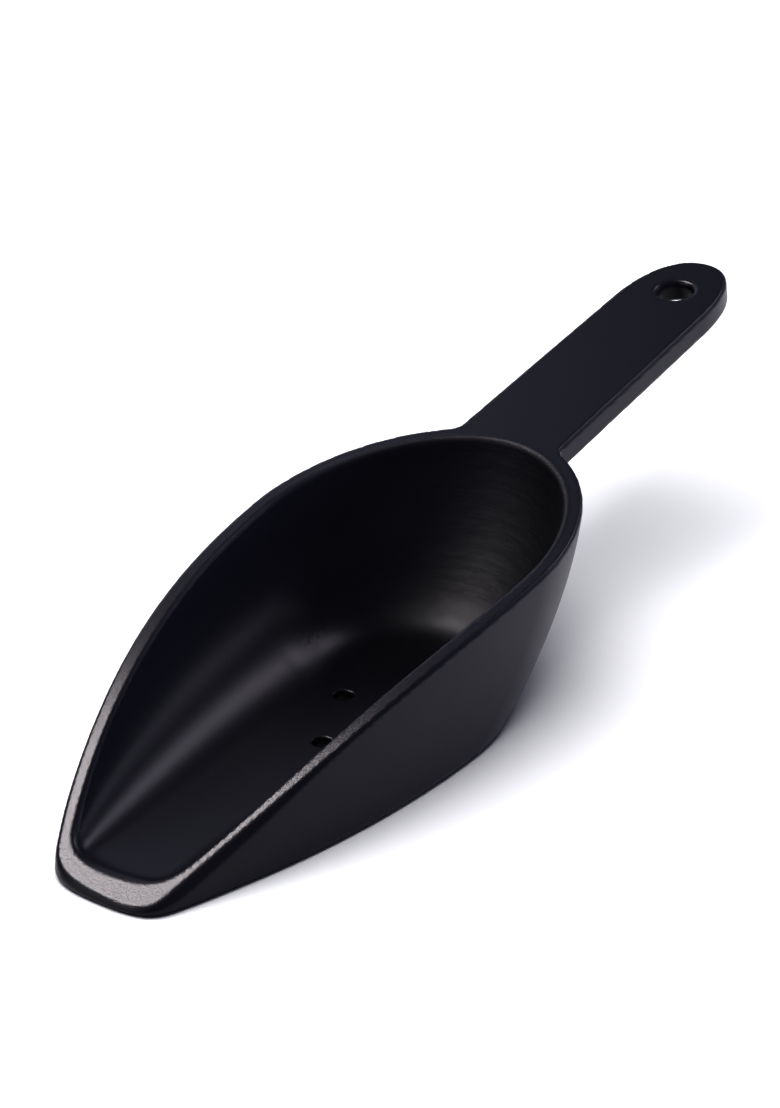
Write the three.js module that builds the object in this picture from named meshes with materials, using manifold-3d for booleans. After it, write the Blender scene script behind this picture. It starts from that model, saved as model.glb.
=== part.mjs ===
// A one-piece cast hand scoop: a tapered tub with a flat floor, its mouth cut back in one sweeping
// curve to a blunt lip, and a flat bar handle that runs on from the rear rim and rises away from it.
// Millimetres, +Z up, +X from the lip towards the handle, and symmetric about Y = 0 but for two things:
// the lip's front edge is ground off a little askew, and the drain holes are off the middle.
// The origin is under the middle of the scoop, on the surface that its flat base rests on.
// The dimensions below have X = 0 at the lip; the finished casting is shifted to its origin at the end.

import * as THREE from 'three';
import { mergeVertices } from 'three/addons/utils/BufferGeometryUtils.js';
import Module from 'manifold-3d';

const wasm = await Module();
wasm.setup();

// ---- driving dimensions ----

// outlines of the outside and of the hollow, both taken down to ground level
const WIDEST_X = 91.4;
const REAR_PULL_X = 0.53;
const REAR_PULL_Y = 0.52;
const FOOTPRINT = {
  frontX: -0.5,
  frontPull: 13.9,
  side: new THREE.Vector2(10, 17.9),
  sidePullBack: 8,
  sidePullOn: new THREE.Vector2(26.8, 25.3),
  sidePullRearX: 57,
  halfWidth: 33.7,
  rearX: 134,
  skew: 0.13,
};
const HOLLOW = {
  frontX: 4.1,
  frontPull: 8.3,
  side: new THREE.Vector2(10.6, 14.7),
  sidePullBack: 5.8,
  sidePullOn: new THREE.Vector2(25.3, 21),
  sidePullRearX: 58.6,
  halfWidth: 29.9,
  rearX: 130,
  skew: 0.07,
};
const SKEW_REACH = 13;
const BASE_EDGE_ROUND = 1.8;

// how the tub opens out with height: footprint scaled by 1 + SPREAD z - BULGE z^2, about SPREAD_FROM_X
const SPREAD_FROM_X = -43.7;
const SPREAD_X = 0.0074;
const BULGE_X = 0.00008;
const SPREAD_Y = 0.0054;
const BULGE_Y = 0.000049;

// top plane of the rear rim and handle: its height at a place near the handle's root, and its rise
const ROOT_X = 160;
const ROOT_HEIGHT = 40.8;
const TOP_ANGLE = THREE.MathUtils.degToRad(6.7);

// side profile of the mouth, from the lip to where it joins the top plane
const LIP_HEIGHT = 2.1;
const MOUTH_START_SLOPE = 0.403;
const MOUTH_PULL_FRONT = 33.3;
const MOUTH_PULL_REAR = 55;
const MOUTH_END_X = 103;

// floor of the hollow, and the fillet round it: it grows with distance from the lip, and shrinks where
// the wall leans out
const FLOOR = 3.9;
const FLOOR_FILLET = 24;
const FLOOR_FILLET_GROWTH = 36;
const SIDE_LEAN = 0.12;
const REAR_LEAN = 0.85;
const REAR_FILLET_DROP = 0.82;

// handle, its lengths measured up the slope from the root
const HANDLE_LENGTH = 90.6;
const HANDLE_THICKNESS = 5.5;
const HANDLE_ROOT_HALF_WIDTH = 13.4;
const HANDLE_END_HALF_WIDTH = 12.5;
const HANDLE_END_ROUND = 24.4;
const HANDLE_END_PULL = 0.64;
const ROOT_FILLET = 2;

// holes
const HANG_HOLE_FROM_ROOT = 76;
const HANG_HOLE_RADIUS = 4.2;
const HANG_HOLE_BREAK = 1.3;
const DRAIN_HOLE_RADIUS = 2.2;
const DRAIN_HOLES = [[76.2, -4.7], [96.7, 3.5]];

// how far the cutting shapes run past the metal
const PAST = 4;
const WELL_PAST = 12;

// ---- solids and meshes ----

function toSolid(geometry) {
  geometry.deleteAttribute('normal');
  geometry.deleteAttribute('uv');
  const merged = mergeVertices(geometry, 1e-4);
  return new wasm.Manifold(new wasm.Mesh({
    numProp: 3,
    vertProperties: new Float32Array(merged.attributes.position.array),
    triVerts: new Uint32Array(merged.index.array),
  }));
}

function toGeometry(solid) {
  const { vertProperties, triVerts } = solid.getMesh();
  const geometry = new THREE.BufferGeometry();
  geometry.setAttribute('position', new THREE.BufferAttribute(vertProperties, 3));
  geometry.setIndex(new THREE.BufferAttribute(triVerts, 1));
  geometry.computeVertexNormals();
  return geometry;
}

// A closed solid through a stack of rings, each an array of Vector3, all with the same count and
// running anticlockwise seen from above; the first and last rings are filled in flat.
function loft(rings) {
  const count = rings[0].length;
  const positions = rings.flat().flatMap((p) => [p.x, p.y, p.z]);
  const triangles = [];
  for (let r = 0; r + 1 < rings.length; r += 1) {
    for (let i = 0; i < count; i += 1) {
      const a = r * count + i;
      const b = r * count + ((i + 1) % count);
      triangles.push(a, b, b + count, a, b + count, a + count);
    }
  }
  const top = (rings.length - 1) * count;
  for (const [a, b, c] of THREE.ShapeUtils.triangulateShape(rings[0], [])) {
    triangles.push(c, b, a);
  }
  for (const [a, b, c] of THREE.ShapeUtils.triangulateShape(rings.at(-1), [])) {
    triangles.push(top + a, top + b, top + c);
  }
  const geometry = new THREE.BufferGeometry();
  geometry.setAttribute('position', new THREE.Float32BufferAttribute(positions, 3));
  geometry.setIndex(triangles);
  return toSolid(geometry);
}

// ---- shared curves ----

const topPlane = (x) => ROOT_HEIGHT + (x - ROOT_X) * Math.tan(TOP_ANGLE);

// Half of an outline in plan, from the middle of its front edge round to the middle of its rear.
function halfOutline(form) {
  const { frontX, frontPull, side, sidePullBack, sidePullOn, sidePullRearX, halfWidth, rearX } = form;
  const back = side.clone().sub(sidePullOn).setLength(sidePullBack).add(side);
  const path = new THREE.Path();
  path.moveTo(frontX, 0);
  path.bezierCurveTo(frontX, frontPull, back.x, back.y, side.x, side.y);
  path.bezierCurveTo(sidePullOn.x, sidePullOn.y, sidePullRearX, halfWidth, WIDEST_X, halfWidth);
  path.bezierCurveTo(
    WIDEST_X + REAR_PULL_X * (rearX - WIDEST_X), halfWidth,
    rearX, halfWidth * REAR_PULL_Y,
    rearX, 0,
  );
  const segments = [8, 14, 14];
  const points = path.curves.flatMap((curve, i) => curve.getPoints(segments[i]).slice(1));
  return [new THREE.Vector2(frontX, 0), ...points];
}

// A whole outline, anticlockwise, with the outward normal at each of its points.
function wholeOutline(form) {
  const half = halfOutline(form);
  const right = half.slice(0, -1).map((p) => new THREE.Vector2(p.x, -p.y));
  const points = [...right, ...half.slice(1).reverse()];
  return points.map((p, i) => {
    const before = points.at(i - 1);
    const after = points[(i + 1) % points.length];
    const along = after.clone().sub(before).normalize();
    return { p, normal: new THREE.Vector2(along.y, -along.x) };
  });
}

// An outline drawn in by inset(point), opened out to height z and skewed at the lip.
function section({ skew }, outline, z, inset) {
  const scaleX = 1 + SPREAD_X * z - BULGE_X * z * z;
  const scaleY = 1 + SPREAD_Y * z - BULGE_Y * z * z;
  return outline.map((point) => {
    const q = point.p.clone().addScaledVector(point.normal, -inset(point) / scaleX);
    const x = SPREAD_FROM_X + (q.x - SPREAD_FROM_X) * scaleX;
    const y = q.y * scaleY;
    return new THREE.Vector3(x + skew * y * Math.exp(-((x / SKEW_REACH) ** 2)), y, z);
  });
}

// How far a fillet of this radius stands in from the wall, at a height above the surface it rises from.
function filletInset(radius, height) {
  const short = Math.max(radius - height, 0);
  return radius - Math.sqrt(radius * radius - short * short);
}

const EDGE_STEPS = [0, 0.08, 0.3, 0.62, 1];
const FILLET_STEPS = [0, 0.02, 0.08, 0.2, 0.4, 0.68, 1];
const WALL_STEPS = [0.2, 0.45, 0.75, 1];

// ---- the pieces of the casting ----

function outerTub() {
  const outline = wholeOutline(FOOTPRINT);
  const top = ROOT_HEIGHT + WELL_PAST;
  const edge = EDGE_STEPS.map((t) => t * BASE_EDGE_ROUND);
  const wall = WALL_STEPS.map((t) => BASE_EDGE_ROUND + t * (top - BASE_EDGE_ROUND));
  return loft([...edge, ...wall].map((z) => section(
    FOOTPRINT,
    outline,
    z,
    () => filletInset(BASE_EDGE_ROUND, z),
  )));
}

// How fast the wall moves outwards as it rises, at one point of an outline.
function outwardSlope({ p, normal }) {
  return (p.x - SPREAD_FROM_X) * SPREAD_X * normal.x + p.y * SPREAD_Y * normal.y;
}

// How far the hollow's fillet stands in from the wall at one point of its outline.
function floorFilletInset(point, height) {
  const slope = outwardSlope(point);
  const lean = slope / Math.hypot(1, slope);
  const drop = REAR_FILLET_DROP * THREE.MathUtils.smoothstep(lean, SIDE_LEAN, REAR_LEAN);
  const growth = 1 - Math.exp(-Math.max(point.p.x - 2, 2) / FLOOR_FILLET_GROWTH);
  return filletInset(FLOOR_FILLET * growth * (1 - drop), height) * Math.hypot(1, slope);
}

function hollow() {
  const outline = wholeOutline(HOLLOW);
  const top = ROOT_HEIGHT + WELL_PAST;
  const edge = FILLET_STEPS.map((t) => t * FLOOR_FILLET);
  const wall = WALL_STEPS.map((t) => FLOOR_FILLET + t * (top - FLOOR_FILLET));
  return loft([...edge, ...wall].map((height) => section(
    HOLLOW,
    outline,
    FLOOR + height,
    (point) => floorFilletInset(point, height),
  )));
}

// Everything below the mouth's side profile and the top plane, as a block wider than the scoop.
function belowMouth() {
  const width = 120;
  const endX = ROOT_X + HANDLE_LENGTH + PAST;
  const shape = new THREE.Shape();
  shape.moveTo(-PAST, -PAST);
  shape.lineTo(endX, -PAST);
  shape.lineTo(endX, topPlane(endX));
  shape.lineTo(MOUTH_END_X, topPlane(MOUTH_END_X));
  shape.bezierCurveTo(
    MOUTH_END_X - MOUTH_PULL_REAR, topPlane(MOUTH_END_X - MOUTH_PULL_REAR),
    MOUTH_PULL_FRONT, LIP_HEIGHT + MOUTH_PULL_FRONT * MOUTH_START_SLOPE,
    0, LIP_HEIGHT,
  );
  shape.lineTo(-PAST, LIP_HEIGHT - PAST * MOUTH_START_SLOPE);
  const options = { depth: width, bevelEnabled: false, curveSegments: 20 };
  const geometry = new THREE.ExtrudeGeometry(shape, options);
  geometry.rotateX(Math.PI / 2);
  geometry.translate(0, width / 2, 0);
  return toSolid(geometry);
}

// Takes a piece drawn level, with X measured from the handle's root, up into the sloping top plane.
function intoTopPlane(geometry) {
  geometry.rotateY(-TOP_ANGLE);
  geometry.translate(ROOT_X, 0, ROOT_HEIGHT);
  return toSolid(geometry);
}

function handleShape() {
  const buried = FOOTPRINT.rearX - ROOT_X;
  const w = HANDLE_ROOT_HALF_WIDTH;
  const end = HANDLE_END_HALF_WIDTH;
  const round = HANDLE_LENGTH - HANDLE_END_ROUND;
  const pull = round + HANDLE_END_ROUND * HANDLE_END_PULL;
  const shape = new THREE.Shape();
  shape.moveTo(buried, -w - ROOT_FILLET);
  shape.lineTo(-ROOT_FILLET / 2, -w - ROOT_FILLET);
  shape.quadraticCurveTo(0, -w, ROOT_FILLET, -w);
  shape.lineTo(round, -end);
  shape.bezierCurveTo(pull, -end, HANDLE_LENGTH, -end * HANDLE_END_PULL, HANDLE_LENGTH, 0);
  shape.bezierCurveTo(HANDLE_LENGTH, end * HANDLE_END_PULL, pull, end, round, end);
  shape.lineTo(ROOT_FILLET, w);
  shape.quadraticCurveTo(0, w, -ROOT_FILLET / 2, w + ROOT_FILLET);
  shape.lineTo(buried, w + ROOT_FILLET);
  return shape;
}

function handle() {
  const depth = HANDLE_THICKNESS + WELL_PAST;
  const options = { depth, bevelEnabled: false, curveSegments: 10 };
  const geometry = new THREE.ExtrudeGeometry(handleShape(), options);
  geometry.translate(0, 0, -HANDLE_THICKNESS);
  return intoTopPlane(geometry);
}

// The hang hole: a straight bore with its two edges broken by a cone.
function hangHole() {
  const wide = HANG_HOLE_RADIUS + HANG_HOLE_BREAK;
  const bottom = -HANDLE_THICKNESS;
  const profile = [
    [0, bottom - 1],
    [wide + 1, bottom - 1],
    [wide, bottom],
    [HANG_HOLE_RADIUS, bottom + HANG_HOLE_BREAK],
    [HANG_HOLE_RADIUS, -HANG_HOLE_BREAK],
    [wide, 0],
    [wide + 1, 1],
    [0, 1],
  ].map(([r, z]) => new THREE.Vector2(r, z));
  const geometry = new THREE.LatheGeometry(profile, 28);
  geometry.rotateX(Math.PI / 2);
  geometry.translate(HANG_HOLE_FROM_ROOT, 0, 0);
  return intoTopPlane(geometry);
}

function drainHole([x, y]) {
  const geometry = new THREE.CylinderGeometry(DRAIN_HOLE_RADIUS, DRAIN_HOLE_RADIUS, 2 * FLOOR, 20);
  geometry.rotateX(Math.PI / 2);
  geometry.translate(x, y, FLOOR / 2);
  return toSolid(geometry);
}

function casting() {
  let body = outerTub().add(handle());
  body = body.intersect(belowMouth());
  body = body.subtract(hollow());
  body = body.subtract(hangHole());
  for (const place of DRAIN_HOLES) {
    body = body.subtract(drainHole(place));
  }
  return body;
}

const coating = new THREE.MeshStandardMaterial({ color: 0x17171b, roughness: 0.35, metalness: 0.6 });

const scoop = new THREE.Mesh(toGeometry(casting()), coating);
scoop.name = 'scoop';

const middle = new THREE.Box3().setFromObject(scoop).getCenter(new THREE.Vector3());
const group = new THREE.Group();
group.add(scoop);
group.position.x = -middle.x;

export default group;
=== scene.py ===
"""A one-piece cast hand scoop in a satin black coating, standing on a pale studio floor.

The casting is described as a field: a function that is negative inside the metal and positive outside,
and close to the distance in metres from its skin. Every edge is rounded by the way the fields are joined.
The mesh is then laid on the surface where that field is zero.
"""

import math

import bpy
import numpy as np
from mathutils import Matrix, Vector


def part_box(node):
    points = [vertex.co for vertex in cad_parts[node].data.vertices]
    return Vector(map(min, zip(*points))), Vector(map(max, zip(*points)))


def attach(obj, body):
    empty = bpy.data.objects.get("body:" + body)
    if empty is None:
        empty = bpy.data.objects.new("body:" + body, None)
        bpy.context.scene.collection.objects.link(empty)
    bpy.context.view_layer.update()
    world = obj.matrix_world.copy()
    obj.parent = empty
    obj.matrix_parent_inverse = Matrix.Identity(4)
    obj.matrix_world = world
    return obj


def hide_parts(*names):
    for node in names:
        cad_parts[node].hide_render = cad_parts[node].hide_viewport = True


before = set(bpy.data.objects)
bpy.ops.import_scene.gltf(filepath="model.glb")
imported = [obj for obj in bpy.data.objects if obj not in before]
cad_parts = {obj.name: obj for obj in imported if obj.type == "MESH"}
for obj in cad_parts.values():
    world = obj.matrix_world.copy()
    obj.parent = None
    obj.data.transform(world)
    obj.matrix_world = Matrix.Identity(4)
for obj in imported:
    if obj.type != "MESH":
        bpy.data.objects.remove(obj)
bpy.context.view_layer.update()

MM = 0.001

# ---- the casting, measured from the lip (X = 0) towards the handle, with Z up from the ground ----

# outlines of the outside and of the hollow, both taken down to ground level; each skew slants an outline's
# front edge
WIDEST_X = 91.4 * MM
REAR_PULL_X = 0.53
REAR_PULL_Y = 0.52
FOOTPRINT = {
    "front_x": -0.5 * MM,
    "front_pull": 13.9 * MM,
    "side": (10 * MM, 17.9 * MM),
    "side_pull_back": 8 * MM,
    "side_pull_on": (26.8 * MM, 25.3 * MM),
    "side_pull_rear_x": 57 * MM,
    "half_width": 33.7 * MM,
    "rear_x": 134 * MM,
}
HOLLOW = {
    "front_x": 4.1 * MM,
    "front_pull": 8.3 * MM,
    "side": (10.6 * MM, 14.7 * MM),
    "side_pull_back": 5.8 * MM,
    "side_pull_on": (25.3 * MM, 21 * MM),
    "side_pull_rear_x": 58.6 * MM,
    "half_width": 29.9 * MM,
    "rear_x": 130 * MM,
}
BASE_EDGE_ROUND = 1.8 * MM
LIP_SKEW = 0.13
HOLLOW_SKEW = 0.07
SKEW_REACH = 13 * MM

# how the tub opens out with height: outlines scaled by 1 + SPREAD z - BULGE z^2, about SPREAD_FROM_X
SPREAD_FROM_X = -43.7 * MM
SPREAD_X = 0.0074 / MM
BULGE_X = 0.00008 / MM**2
SPREAD_Y = 0.0054 / MM
BULGE_Y = 0.000049 / MM**2

# top plane of the rear rim and handle: its height at a place near the handle's root, and its rise
ROOT_X = 160 * MM
ROOT_HEIGHT = 40.8 * MM
TOP_ANGLE = math.radians(6.7)

# side profile of the mouth, from the lip to where it joins the top plane
LIP_HEIGHT = 2.1 * MM
MOUTH_START_SLOPE = 0.403
MOUTH_PULL_FRONT = 33.3 * MM
MOUTH_PULL_REAR = 55 * MM
MOUTH_END_X = 103 * MM

# floor of the hollow, and the fillet round it
FLOOR = 3.9 * MM
FLOOR_FILLET = 24 * MM
FLOOR_FILLET_GROWTH = 36 * MM
FLOOR_FILLET_FROM_X = 2 * MM
SIDE_LEAN = 0.12
REAR_LEAN = 0.85
REAR_FILLET_DROP = 0.82

# handle, its lengths measured up the slope from the root
HANDLE_LENGTH = 90.6 * MM
HANDLE_THICKNESS = 5.5 * MM
HANDLE_ROOT_HALF_WIDTH = 13.4 * MM
HANDLE_END_HALF_WIDTH = 12.5 * MM
HANDLE_END_ROUND = 24.4 * MM
HANDLE_END_PULL = 0.64

# holes
HANG_HOLE_FROM_ROOT = 76 * MM
HANG_HOLE_RADIUS = 4.2 * MM
HANG_HOLE_BREAK = 1.3 * MM
DRAIN_HOLE_RADIUS = 2.2 * MM
DRAIN_HOLES = [(76.2 * MM, -4.7 * MM), (96.7 * MM, 3.5 * MM)]

# roundings that the CAD model leaves sharp
OUTER_RIM_ROUND = 0.9 * MM
OUTER_RIM_ROUND_FRONT = 2.1 * MM
INNER_RIM_ROUND = 1.1 * MM
INNER_RIM_ROUND_FRONT = 0.9 * MM
HANDLE_UNDER_ROUND = 0.9 * MM
HANDLE_ROOT_FILLET = 1.6 * MM
DRAIN_HOLE_BREAK = 0.4 * MM

# where the rim's front roundings hold: X where they begin, are full, fade and are gone, and how far to the
# right of the middle they begin and are full
FRONT_ROUND_X = (0, 8 * MM, 15 * MM, 55 * MM)
FRONT_ROUND_RIGHT = (-4 * MM, 10 * MM)

# how finely the curves and outlines are followed
END_POINTS = 60
SIDE_POINTS = 160
MOUTH_POINTS = 2000
TABLE_STEP = 0.5 * MM
TABLE_MARGIN = 12 * MM

# the mesh's grid, measured like the casting
CELL = 0.75 * MM
GRID_LOW = (-4 * MM, -45 * MM - CELL / 2, -3 * MM)
GRID_HIGH = (255 * MM, 45 * MM, 58 * MM)


# ---- curves ----

def bezier(points, count):
    """Points along a cubic Bezier curve, without its first."""
    a, b, c, d = (np.array(p, float) for p in points)
    t = np.linspace(0, 1, count + 1)[1:, None]
    s = 1 - t
    return s**3 * a + 3 * s * s * t * b + 3 * s * t * t * c + t**3 * d


def half_outline(form):
    """Half of an outline in plan, from the middle of its front edge round to the middle of its rear."""
    front = np.array((form["front_x"], 0))
    side = np.array(form["side"])
    pull_on = np.array(form["side_pull_on"])
    back = side - form["side_pull_back"] * (pull_on - side) / np.linalg.norm(pull_on - side)
    wide = form["half_width"]
    rear = form["rear_x"]
    rear_pull_x = WIDEST_X + REAR_PULL_X * (rear - WIDEST_X)
    return np.concatenate([
        [front],
        bezier([front, front + (0, form["front_pull"]), back, side], END_POINTS),
        bezier([side, pull_on, (form["side_pull_rear_x"], wide), (WIDEST_X, wide)], SIDE_POINTS),
        bezier([(WIDEST_X, wide), (rear_pull_x, wide), (rear, wide * REAR_PULL_Y), (rear, 0)], SIDE_POINTS),
    ])


def handle_outline():
    """Half of the handle's outline, level, with X measured from its root."""
    end = HANDLE_END_HALF_WIDTH
    begin = HANDLE_LENGTH - HANDLE_END_ROUND
    pull = begin + HANDLE_END_ROUND * HANDLE_END_PULL
    buried = FOOTPRINT["rear_x"] - ROOT_X
    root = HANDLE_ROOT_HALF_WIDTH
    widening = (root - end) / begin
    tip = (HANDLE_LENGTH, 0)
    tip_pull = (HANDLE_LENGTH, end * HANDLE_END_PULL)
    return np.concatenate([
        [(buried, 0), (buried, root - widening * buried), (begin, end)],
        bezier([(begin, end), (pull, end), tip_pull, tip], SIDE_POINTS),
    ])


# ---- distance to an outline, read from a fine table ----

def distance_table(half):
    """Signed distance, negative inside, to the closed outline that half and its mirror image make.
    The table starts a few steps below Y = 0, so that it can be read smoothly right up to the middle."""
    step = TABLE_STEP
    margin = TABLE_MARGIN
    mirror = half[::-1] * (1, -1)
    loop = np.concatenate([half, mirror[1:-1]])
    start = np.array([half[:, 0].min() - margin, -4 * step])
    stop = np.array([half[:, 0].max() + margin, half[:, 1].max() + margin])
    counts = np.ceil((stop - start) / step).astype(int) + 1
    xs = start[0] + step * np.arange(counts[0])
    ys = start[1] + step * np.arange(counts[1])
    p = np.stack(np.meshgrid(xs, ys, indexing="ij"), -1).reshape(-1, 1, 2)
    a = loop
    b = np.roll(loop, -1, axis=0)
    ab = b - a
    nearest = []
    inside = []
    for part in np.array_split(p, max(1, len(p) // 4000)):
        ap = part - a
        along = np.clip((ap * ab).sum(-1) / (ab * ab).sum(-1), 0, 1)
        away = ap - along[..., None] * ab
        nearest.append(np.sqrt((away**2).sum(-1).min(1)))
        spans = (a[:, 1] > part[..., 1]) != (b[:, 1] > part[..., 1])
        rise = np.where(ab[:, 1] == 0, 1, ab[:, 1])
        crossing = a[:, 0] + (part[..., 1] - a[:, 1]) * ab[:, 0] / rise
        inside.append((spans & (part[..., 0] < crossing)).sum(1) % 2 == 1)
    distance = np.concatenate(nearest)
    distance[np.concatenate(inside)] *= -1
    return start, step, distance.reshape(counts)


def cubic_weights(t):
    """Weights of four neighbours for smooth reading of a table, and their slopes."""
    value = (
        ((2 - t) * t - 1) * t / 2,
        ((3 * t - 5) * t * t + 2) / 2,
        ((4 - 3 * t) * t + 1) * t / 2,
        (t - 1) * t * t / 2,
    )
    slope = (
        ((4 - 3 * t) * t - 1) / 2,
        (9 * t - 10) * t / 2,
        ((8 - 9 * t) * t + 1) / 2,
        (3 * t - 2) * t / 2,
    )
    return value, slope


def read_table(table, x, y):
    """The table's distance at (x, |y|), and its slopes along x and y."""
    start, step, values = table
    u = np.clip((x - start[0]) / step, 1, values.shape[0] - 3.001)
    v = np.clip((np.abs(y) - start[1]) / step, 1, values.shape[1] - 3.001)
    i = u.astype(int)
    j = v.astype(int)
    wu, du = cubic_weights(u - i)
    wv, dv = cubic_weights(v - j)
    d = gx = gy = 0
    for m in range(4):
        for n in range(4):
            value = values[i + m - 1, j + n - 1]
            d = d + wu[m] * wv[n] * value
            gx = gx + du[m] * wv[n] * value
            gy = gy + wu[m] * dv[n] * value
    return d, gx / step, gy / step * np.sign(y)


# ---- joining fields ----

def smooth_step(x, start, end):
    """0 up to start, 1 from end on, and a smooth rise between them."""
    t = np.clip((x - start) / (end - start), 0, 1)
    return t * t * (3 - 2 * t)



def union_round(a, b, r):
    """Both solids, with a fillet of radius r where they meet."""
    near = np.hypot(np.maximum(r - a, 0), np.maximum(r - b, 0))
    return np.maximum(r, np.minimum(a, b)) - near


def overlap_round(a, b, r):
    """What is in both solids, with the edge between them rounded to radius r."""
    near = np.hypot(np.maximum(r + a, 0), np.maximum(r + b, 0))
    return np.minimum(-r, np.maximum(a, b)) + near


# ---- the casting's field ----

FOOTPRINT_TABLE = distance_table(half_outline(FOOTPRINT))
HOLLOW_TABLE = distance_table(half_outline(HOLLOW))
HANDLE_TABLE = distance_table(handle_outline())


def top_plane(x):
    return ROOT_HEIGHT + (x - ROOT_X) * math.tan(TOP_ANGLE)


MOUTH_CURVE = bezier([
    (0, LIP_HEIGHT),
    (MOUTH_PULL_FRONT, LIP_HEIGHT + MOUTH_PULL_FRONT * MOUTH_START_SLOPE),
    (MOUTH_END_X - MOUTH_PULL_REAR, top_plane(MOUTH_END_X - MOUTH_PULL_REAR)),
    (MOUTH_END_X, top_plane(MOUTH_END_X)),
], MOUTH_POINTS)
MOUTH_SLOPE = np.gradient(MOUTH_CURVE[:, 1], MOUTH_CURVE[:, 0])


def above_mouth(x, z):
    """Height above the mouth's side profile, square to it."""
    height = np.interp(x, MOUTH_CURVE[:, 0], MOUTH_CURVE[:, 1])
    slope = np.interp(x, MOUTH_CURVE[:, 0], MOUTH_SLOPE)
    height = np.where(x > MOUTH_END_X, top_plane(x), height)
    height = np.where(x < 0, LIP_HEIGHT + x * MOUTH_START_SLOPE, height)
    return (z - height) / np.sqrt(1 + slope * slope)


# keeps a division by the field's slope safe where the field is flat
LEAST_SLOPE = 1e-4


def tapered_wall(table, skew, x, y, z):
    """Distance from a wall that rises from an outline and opens out with height, and how far it leans."""
    x = x - skew * y * np.exp(-((x / SKEW_REACH) ** 2))
    across_x = 1 + SPREAD_X * z - BULGE_X * z * z
    across_y = 1 + SPREAD_Y * z - BULGE_Y * z * z
    reach = (x - SPREAD_FROM_X) / across_x
    d, gx, gy = read_table(table, SPREAD_FROM_X + reach, y / across_y)
    gx = gx / across_x
    gy = gy / across_y
    gz = -gx * reach * (SPREAD_X - 2 * BULGE_X * z) - gy * y / across_y * (SPREAD_Y - 2 * BULGE_Y * z)
    steepness = np.sqrt(gx * gx + gy * gy + gz * gz + LEAST_SLOPE)
    return d / steepness, -gz / steepness


def floor_fillet(x, lean):
    """The radius of the fillet between floor and wall: it grows away from the lip, and shrinks where the
    wall leans out."""
    from_start = np.maximum(x - FLOOR_FILLET_FROM_X, FLOOR_FILLET_FROM_X)
    radius = FLOOR_FILLET * (1 - np.exp(-from_start / FLOOR_FILLET_GROWTH))
    return radius * (1 - REAR_FILLET_DROP * smooth_step(lean, SIDE_LEAN, REAR_LEAN))


def front_right(x, y):
    """1 on the right side of the mouth's front half; 0 at the lip, on the left and at the rear."""
    begin, full, fade, gone = FRONT_ROUND_X
    along = smooth_step(x, begin, full) * (1 - smooth_step(x, fade, gone))
    return along * smooth_step(-y, *FRONT_ROUND_RIGHT)


def casting(p):
    """The scoop's field at an array of points measured from the lip."""
    x, y, z = p[:, 0], p[:, 1], p[:, 2]
    along = (x - ROOT_X) * math.cos(TOP_ANGLE) + (z - ROOT_HEIGHT) * math.sin(TOP_ANGLE)
    above = (z - ROOT_HEIGHT) * math.cos(TOP_ANGLE) - (x - ROOT_X) * math.sin(TOP_ANGLE)

    wall, _ = tapered_wall(FOOTPRINT_TABLE, LIP_SKEW, x, y, z)
    tub = overlap_round(wall, -z, BASE_EDGE_ROUND)
    side, _, _ = read_table(HANDLE_TABLE, along, y)
    bar = overlap_round(side, -above - HANDLE_THICKNESS, HANDLE_UNDER_ROUND)
    body = union_round(tub, bar, HANDLE_ROOT_FILLET)
    share = front_right(x, y)
    outer_round = OUTER_RIM_ROUND + (OUTER_RIM_ROUND_FRONT - OUTER_RIM_ROUND) * share
    body = overlap_round(body, above_mouth(x, z), outer_round)

    inner_wall, lean = tapered_wall(HOLLOW_TABLE, HOLLOW_SKEW, x, y, np.maximum(z, 0))
    hollow = overlap_round(inner_wall, FLOOR - z, floor_fillet(x, lean))
    inner_round = INNER_RIM_ROUND + (INNER_RIM_ROUND_FRONT - INNER_RIM_ROUND) * share
    body = overlap_round(body, -hollow, inner_round)

    hang = HANG_HOLE_RADIUS - np.hypot(along - HANG_HOLE_FROM_ROOT, y)
    body = overlap_round(body, hang, HANG_HOLE_BREAK)
    for hole_x, hole_y in DRAIN_HOLES:
        drain = DRAIN_HOLE_RADIUS - np.hypot(x - hole_x, y - hole_y)
        body = overlap_round(body, drain, DRAIN_HOLE_BREAK)
    return body


# each pair is where a mark's change begins and where it ends
GROUND_DEPTH = 0.35 * MM
GROUND_FADE_X = (100 * MM, 165 * MM)
ROUGH_FROM_WALL = (-1.6 * MM, -0.4 * MM)
ROUGH_RISE_X = (112 * MM, 138 * MM)
ROUGH_RISE_Z = (4 * MM, 7 * MM)


def finish_marks(p):
    """How much of each point's skin is the ground face of the mouth, and how much is rough casting inside."""
    x, y, z = p[:, 0], p[:, 1], p[:, 2]
    ground = np.exp(-((above_mouth(x, z) / GROUND_DEPTH) ** 2)) * (1 - smooth_step(x, *GROUND_FADE_X))
    inner_wall, _ = tapered_wall(HOLLOW_TABLE, HOLLOW_SKEW, x, y, np.maximum(z, 0))
    inside = smooth_step(-inner_wall, *ROUGH_FROM_WALL)
    rough = inside * smooth_step(x, *ROUGH_RISE_X) * smooth_step(z, *ROUGH_RISE_Z)
    return ground, rough


# ---- laying a mesh on the field's surface ----

def slopes(field, p, step=0.02 * MM):
    """The field's gradient, by central differences."""
    g = np.empty_like(p)
    for axis in range(3):
        shift = np.zeros(3)
        shift[axis] = step
        g[:, axis] = (field(p + shift) - field(p - shift)) / (2 * step)
    return g


def onto_surface(field, p, rounds):
    """Moves points square to the surface until the field at them is zero."""
    for _ in range(rounds):
        g = slopes(field, p)
        p = p - (field(p) / (g * g).sum(1))[:, None] * g
    return p


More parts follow.
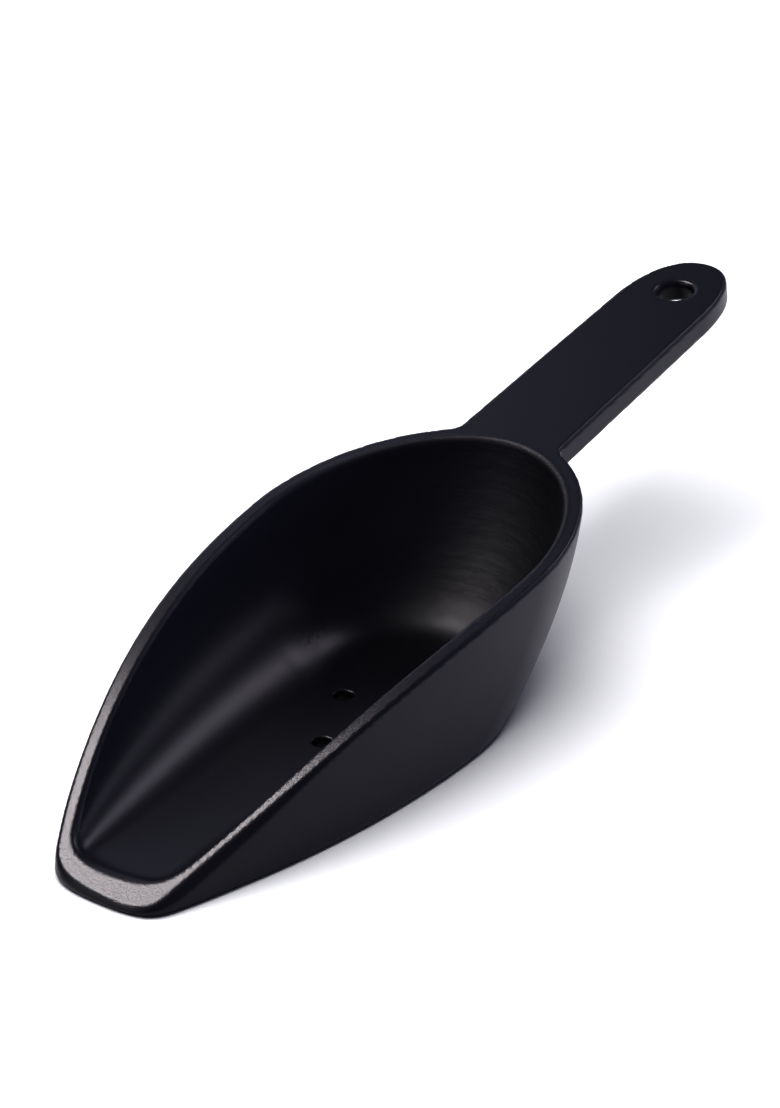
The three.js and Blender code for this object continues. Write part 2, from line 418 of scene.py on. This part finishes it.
def field_on_grid(field, low, counts, cell, coarse=4):
    """The field at every grid point near its surface; further off, values from a coarser grid."""
    coarse_counts = [n // coarse + 2 for n in counts]
    axes = [low[k] + cell * coarse * np.arange(coarse_counts[k]) for k in range(3)]
    p = np.stack(np.meshgrid(*axes, indexing="ij"), -1).reshape(-1, 3)
    rough = field(p).reshape(coarse_counts)
    for axis in range(3):
        rough = np.repeat(rough, coarse, axis=axis)
    values = rough[: counts[0], : counts[1], : counts[2]].copy()
    near = np.argwhere(np.abs(values) < 3 * coarse * cell)
    for part in np.array_split(near, max(1, len(near) // 200000)):
        values[tuple(part.T)] = field(low + cell * part)
    return values


CORNERS = np.array([(i, j, k) for i in (0, 1) for j in (0, 1) for k in (0, 1)])


def surface_net(values, low, cell):
    """One vertex in each grid cell that the surface passes through, and a quad across each crossed edge."""
    inside = values < 0
    cells = tuple(n - 1 for n in values.shape)
    count = np.zeros(cells, int)
    for i, j, k in CORNERS:
        count += inside[i:i + cells[0], j:j + cells[1], k:k + cells[2]]
    active = np.argwhere((count > 0) & (count < 8))
    number = np.full(cells, -1)
    number[tuple(active.T)] = np.arange(len(active))

    total = np.zeros((len(active), 3))
    hits = np.zeros(len(active))
    for a in range(8):
        for b in range(a + 1, 8):
            if np.abs(CORNERS[a] - CORNERS[b]).sum() != 1:
                continue
            va = values[tuple((active + CORNERS[a]).T)]
            vb = values[tuple((active + CORNERS[b]).T)]
            crossed = (va < 0) != (vb < 0)
            share = np.where(crossed, va / np.where(crossed, va - vb, 1), 0)
            point = CORNERS[a] + share[:, None] * (CORNERS[b] - CORNERS[a])
            total += crossed[:, None] * point
            hits += crossed
    vertices = low + cell * (active + total / hits[:, None])

    quads = []
    for axis in range(3):
        step = np.eye(3, dtype=int)[axis]
        one, two = (np.eye(3, dtype=int)[(axis + n) % 3] for n in (1, 2))
        start = np.argwhere(inside[:-1, :-1, :-1] != np.roll(inside, -1, axis)[:-1, :-1, :-1])
        start = start[(start > 0).all(1)]
        around = [number[tuple((start - shift).T)] for shift in (0 * step, one, one + two, two)]
        quad = np.stack(around, 1)
        leaving = inside[tuple(start.T)]
        quads.append(np.where(leaving[:, None], quad, quad[:, ::-1]))
    return vertices, np.concatenate(quads)


EVENING_STEP = 0.6


def evened(field, p, quads, rounds):
    """Slides the vertices along the surface until they are evenly spread."""
    ends = np.concatenate([quads[:, [k, (k + 1) % 4]] for k in range(4)])
    ends = np.concatenate([ends, ends[:, ::-1]])
    degree = np.bincount(ends[:, 0], minlength=len(p))[:, None]
    for _ in range(rounds):
        mean = np.stack([np.bincount(ends[:, 0], p[ends[:, 1], k], len(p)) for k in range(3)], 1) / degree
        p = onto_surface(field, p + EVENING_STEP * (mean - p), 1)
    return p


def make_scoop(to_row):
    low = np.array(GRID_LOW)
    counts = tuple(np.ceil((np.array(GRID_HIGH) - low) / CELL).astype(int))
    values = field_on_grid(casting, low, counts, CELL)
    vertices, quads = surface_net(values, low, CELL)
    vertices = evened(casting, vertices, quads, 4)
    vertices = onto_surface(casting, vertices, 2)
    normals = slopes(casting, vertices)
    normals /= np.linalg.norm(normals, axis=1)[:, None]

    mesh = bpy.data.meshes.new("scoop_body")
    mesh.from_pydata((vertices + to_row).tolist(), [], quads.tolist())
    mesh.polygons.foreach_set("use_smooth", [True] * len(mesh.polygons))
    mesh.normals_split_custom_set_from_vertices(normals.tolist())
    for name, strength in zip(("ground", "rough_cast"), finish_marks(vertices)):
        mark = mesh.attributes.new(name, "FLOAT", "POINT")
        mark.data.foreach_set("value", strength.astype(np.float32))
    scoop = bpy.data.objects.new("scoop_body", mesh)
    bpy.context.scene.collection.objects.link(scoop)
    return scoop


# ---- materials ----

COATING_COLOUR = (0.003, 0.003, 0.0045, 1)
COATING_IOR = 1.5
COATING_SPECULAR = 0.2
COATING_ROUGHNESS = 0.33
ROUGH_CAST_ROUGHNESS = 0.58
FLOOR_COLOUR = (0.86, 0.86, 0.87, 1)
FLOOR_ROUGHNESS = 0.9

# relief of the skin: how high it stands, and how many features fit in a metre along X, Y and Z
GRAIN_HEIGHT = 0.05 * MM
GRAIN_STRETCH = (1700, 1700, 1700)
SKIN_HEIGHT = 0.012 * MM
SKIN_STRETCH = (500, 500, 500)
STREAK_HEIGHT = 0.14 * MM
STREAK_STRETCH = (70, 70, 520)
LUMP_STRETCH = (260, 260, 260)


def new_material(name):
    material = bpy.data.materials.new(name)
    material.use_nodes = True
    return material, material.node_tree.nodes, material.node_tree.links


def math_node(nodes, links, operation, first, second):
    node = nodes.new("ShaderNodeMath")
    node.operation = operation
    for socket, value in zip(node.inputs, (first, second)):
        if isinstance(value, (int, float)):
            socket.default_value = value
        else:
            links.new(value, socket)
    return node.outputs[0]


def noise(nodes, links, place, stretch, detail):
    """Smooth noise around 0.5, with features 1 / stretch metres long on each axis."""
    mapping = nodes.new("ShaderNodeMapping")
    mapping.inputs["Scale"].default_value = stretch
    links.new(place, mapping.inputs["Vector"])
    texture = nodes.new("ShaderNodeTexNoise")
    texture.inputs["Scale"].default_value = 1
    texture.inputs["Detail"].default_value = detail
    links.new(mapping.outputs["Vector"], texture.inputs["Vector"])
    return texture.outputs[0]


def mark_output(nodes, name):
    node = nodes.new("ShaderNodeAttribute")
    node.attribute_name = name
    return node.outputs["Fac"]


def coated_metal():
    """Satin black over cast metal: grained where the mouth was ground flat, streaked and pitted at the back
    of the bowl."""
    material, nodes, links = new_material("black_coating")
    shader = nodes["Principled BSDF"]
    shader.inputs["Base Color"].default_value = COATING_COLOUR
    shader.inputs["Metallic"].default_value = 0.0
    shader.inputs["IOR"].default_value = COATING_IOR
    shader.inputs["Specular IOR Level"].default_value = COATING_SPECULAR

    place = nodes.new("ShaderNodeTexCoord").outputs["Object"]
    ground = mark_output(nodes, "ground")
    rough_cast = mark_output(nodes, "rough_cast")
    grain = noise(nodes, links, place, GRAIN_STRETCH, 2)
    skin = noise(nodes, links, place, SKIN_STRETCH, 3)
    streaks = noise(nodes, links, place, STREAK_STRETCH, 4)
    lumps = noise(nodes, links, place, LUMP_STRETCH, 3)

    height = math_node(nodes, links, "MULTIPLY", grain, GRAIN_HEIGHT)
    height = math_node(nodes, links, "MULTIPLY", height, ground)
    all_over = math_node(nodes, links, "MULTIPLY", skin, SKIN_HEIGHT)
    height = math_node(nodes, links, "ADD", height, all_over)
    relief = math_node(nodes, links, "ADD", streaks, lumps)
    relief = math_node(nodes, links, "MULTIPLY", relief, STREAK_HEIGHT)
    relief = math_node(nodes, links, "MULTIPLY", relief, rough_cast)
    height = math_node(nodes, links, "ADD", height, relief)
    bump = nodes.new("ShaderNodeBump")
    bump.inputs["Distance"].default_value = 1
    links.new(height, bump.inputs["Height"])
    links.new(bump.outputs["Normal"], shader.inputs["Normal"])

    extra = math_node(nodes, links, "MULTIPLY", rough_cast, ROUGH_CAST_ROUGHNESS - COATING_ROUGHNESS)
    roughness = math_node(nodes, links, "ADD", extra, COATING_ROUGHNESS)
    links.new(roughness, shader.inputs["Roughness"])
    return material


def floor_material():
    material, nodes, _ = new_material("studio_floor")
    shader = nodes["Principled BSDF"]
    shader.inputs["Base Color"].default_value = FLOOR_COLOUR
    shader.inputs["Roughness"].default_value = FLOOR_ROUGHNESS
    return material


# ---- studio ----

FLOOR_SIZE = 3.2
WORLD_COLOUR = (0.85, 0.86, 1.1, 1)
WORLD_AS_LIGHT = 0.14
WORLD_AS_SEEN = 1.2

SIDE_LIGHT_DISTANCE = 2.0
SIDE_LIGHT_SIZE = 0.9
HIGHLIGHT_DISTANCE = 1.3

# colours of the lights
WHITE = (1, 1, 1)
WARM = (1, 0.94, 0.96)
ROSE = (0.95, 0.9, 1)
LILAC = (0.9, 0.9, 1)
SKY = (0.85, 0.86, 1.1)


def make_floor():
    bpy.ops.mesh.primitive_plane_add(size=FLOOR_SIZE, location=(0, 0, 0))
    floor = bpy.context.object
    floor.name = "floor"
    floor.data.materials.append(floor_material())


def soft_light(name, azimuth, elevation, distance, size, radiance, colour):
    """A square soft light aimed at the middle of the scene, placed by its angles in degrees."""
    light = bpy.data.lights.new(name, "AREA")
    light.shape = "SQUARE"
    light.size = size
    light.energy = radiance * math.pi * size * size
    light.color = colour
    lamp = bpy.data.objects.new(name, light)
    level = math.cos(math.radians(elevation))
    away = Vector((
        level * math.cos(math.radians(azimuth)),
        level * math.sin(math.radians(azimuth)),
        math.sin(math.radians(elevation)),
    ))
    lamp.location = away * distance
    lamp.rotation_euler = away.to_track_quat("Z", "Y").to_euler()
    bpy.context.scene.collection.objects.link(lamp)
    return lamp


def side_light(name, azimuth, elevation, radiance, receivers):
    """A light that shows in no reflection and reaches nothing but the receivers."""
    lamp = soft_light(name, azimuth, elevation, SIDE_LIGHT_DISTANCE, SIDE_LIGHT_SIZE, radiance, LILAC)
    lamp.visible_glossy = False
    lamp.light_linking.receiver_collection = receivers


def highlight(name, azimuth, elevation, size, radiance, colour):
    """A light that is only seen as a reflection."""
    lamp = soft_light(name, azimuth, elevation, HIGHLIGHT_DISTANCE, size, radiance, colour)
    lamp.visible_diffuse = False


def make_world():
    """A dim blue-white light all round, which the camera itself sees as white."""
    world = bpy.data.worlds.new("studio")
    bpy.context.scene.world = world
    world.use_nodes = True
    nodes, links = world.node_tree.nodes, world.node_tree.links
    background = nodes["Background"]
    background.inputs["Color"].default_value = WORLD_COLOUR
    seen = nodes.new("ShaderNodeLightPath").outputs["Is Camera Ray"]
    extra = math_node(nodes, links, "MULTIPLY", seen, WORLD_AS_SEEN - WORLD_AS_LIGHT)
    links.new(math_node(nodes, links, "ADD", extra, WORLD_AS_LIGHT), background.inputs["Strength"])


def make_lights(scoop):
    """The overhead light is for the floor and the general level; the side lights lift the scoop's walls;
    the highlights draw its edges and the fillet along its floor."""
    soft_light("overhead", 90, 80, 2.0, 2.5, 3.0, WHITE).visible_glossy = False
    side_lit = bpy.data.collections.new("side_lit")
    side_lit.objects.link(scoop)
    side_light("side", -30, 14, 80, side_lit)
    side_light("near_side", -118, 24, 24, side_lit)
    highlight("key", 95, 57, 0.44, 37, WARM)
    highlight("beyond", 56, 24, 0.9, 0.62, SKY)
    highlight("rear_right", -6, 43, 0.3, 7, ROSE)
    highlight("right_edge", -36, 24, 0.3, 2.5, ROSE)
    highlight("front_left", 145, 25, 1.0, 1.6, LILAC)


def set_contrast():
    view = bpy.context.scene.view_settings
    view.view_transform = "Standard"
    view.look = "High Contrast"


# ---- camera ----

CAMERA_AIM = (125 * MM, 0, 25 * MM)
CAMERA_AZIMUTH = math.radians(56.01)
CAMERA_DOWN = math.radians(25.77)
CAMERA_ROLL = math.radians(-1.934)
CAMERA_DISTANCE = 1.081
SENSOR_WIDTH = 36
CAMERA_FOCAL = 4.41155
AIM_RIGHT = 0.006997
AIM_DOWN = 0.001698


def make_camera(to_row):
    """CAMERA_AIM lies to the right of the line of sight and below it, by these parts of its distance."""
    ca, sa = math.cos(CAMERA_AZIMUTH), math.sin(CAMERA_AZIMUTH)
    ce, se = math.cos(CAMERA_DOWN), math.sin(CAMERA_DOWN)
    forward = Vector((sa * ce, ca * ce, -se))
    level_right = Vector((ca, -sa, 0))
    level_up = Vector((sa * se, ca * se, ce))
    cr, sr = math.cos(CAMERA_ROLL), math.sin(CAMERA_ROLL)
    right = cr * level_right + sr * level_up
    up = -sr * level_right + cr * level_up
    aim = Vector(CAMERA_AIM) + Vector(to_row)
    place = aim - CAMERA_DISTANCE * (forward + AIM_RIGHT * right - AIM_DOWN * up)
    data = bpy.data.cameras.new("camera")
    data.sensor_width = SENSOR_WIDTH
    data.lens = SENSOR_WIDTH * CAMERA_FOCAL
    camera = bpy.data.objects.new("camera", data)
    axes = Matrix((right, up, -forward)).transposed().to_4x4()
    camera.matrix_world = Matrix.Translation(place) @ axes
    bpy.context.scene.collection.objects.link(camera)
    bpy.context.scene.camera = camera


# ---- the scene ----

_, high_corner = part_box("scoop")
handle_end = ROOT_X + HANDLE_LENGTH * math.cos(TOP_ANGLE) + HANDLE_THICKNESS * math.sin(TOP_ANGLE)
TO_ROW = np.array([high_corner.x - handle_end, 0, 0])

scoop = make_scoop(TO_ROW)
scoop.data.materials.append(coated_metal())
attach(scoop, "root")
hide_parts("scoop")

make_floor()
make_world()
make_lights(scoop)
set_contrast()
make_camera(TO_ROW)
